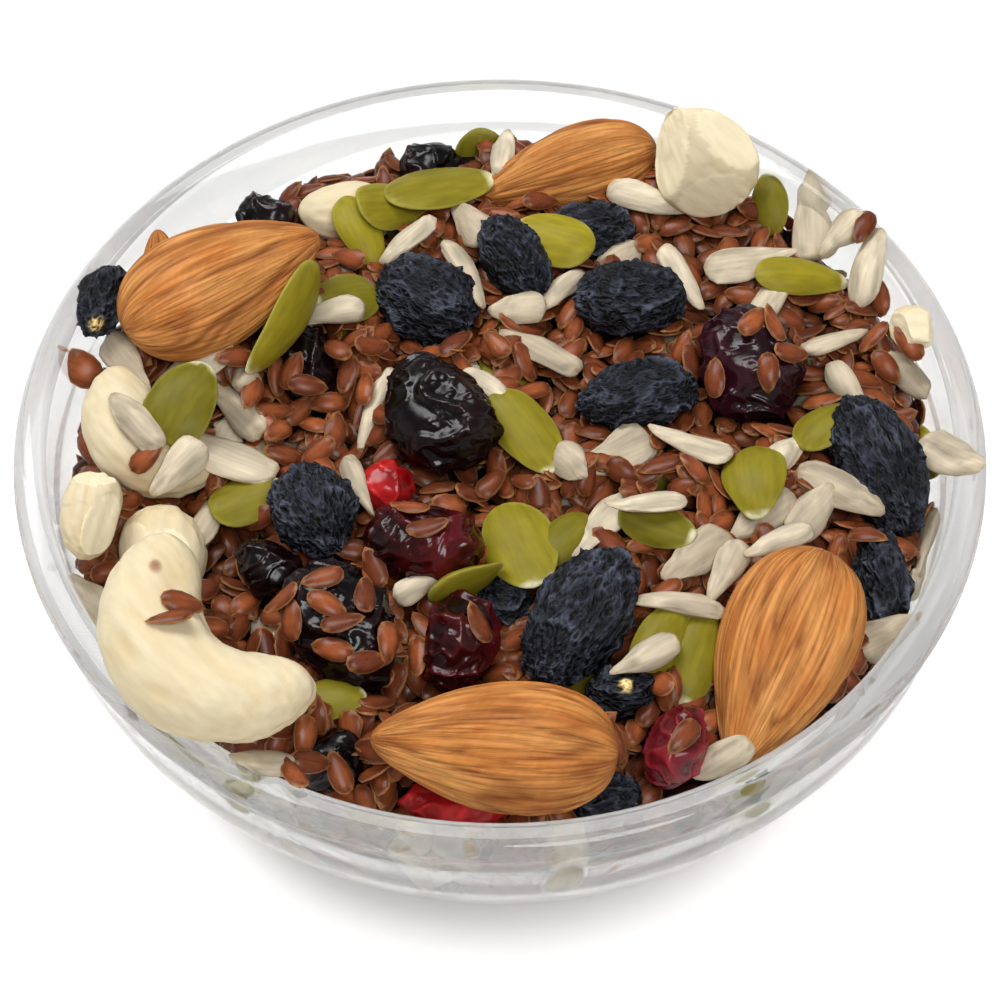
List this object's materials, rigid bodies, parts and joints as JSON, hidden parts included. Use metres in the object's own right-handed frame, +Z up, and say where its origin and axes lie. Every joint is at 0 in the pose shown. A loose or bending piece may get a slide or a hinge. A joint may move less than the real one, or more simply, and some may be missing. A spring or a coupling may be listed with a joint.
{
  "type": "bowl of seed mix",
  "caption": "Round clear glass bowl on a ring foot, heaped with almonds, cashews, raisins, dried cranberries and small mixed seeds.",
  "frame": {"origin": "middle of the bowl's foot, on the surface it stands on", "axes": "+Z up out of the bowl, -Y towards the viewer of the picture, +X to the viewer's right"},
  "size_m": [0.106, 0.106, 0.0556],
  "materials": {
    "glass": "clear polished glass",
    "seeds": "mixed seeds, satin",
    "almond": "finely grooved matt skin",
    "cashew": "smooth matt",
    "raisin": "wrinkled matt with a bluish bloom",
    "cranberry": "wrinkled, glossy"
  },
  "bodies": {
    "root": {"bowl": "glass", "seed_mix": "seeds", "almond_1": "almond", "almond_2": "almond", "almond_3": "almond", "almond_4": "almond", "almond_5": "almond", "cashew_1": "cashew", "cashew_2": "cashew", "cashew_3": "cashew", "cashew_4": "cashew", "cashew_5": "cashew", "cashew_6": "cashew", "nut_piece_1": "cashew", "raisin_1": "raisin", "raisin_2": "raisin", "raisin_3": "raisin", "raisin_4": "raisin", "raisin_5": "raisin", "raisin_6": "raisin", "raisin_7": "raisin", "raisin_8": "raisin", "raisin_9": "raisin", "raisin_10": "raisin", "raisin_11": "raisin", "raisin_12": "raisin", "raisin_13": "raisin", "cranberry_1": "cranberry", "cranberry_2": "cranberry", "cranberry_3": "cranberry", "cranberry_4": "cranberry", "cranberry_5": "cranberry", "cranberry_6": "cranberry", "cranberry_7": "cranberry", "cranberry_8": "cranberry", "cranberry_9": "cranberry", "cranberry_10": "cranberry", "cranberry_11": "cranberry", "cranberry_12": "cranberry", "cranberry_13": "cranberry"}
  },
  "joints": []
}
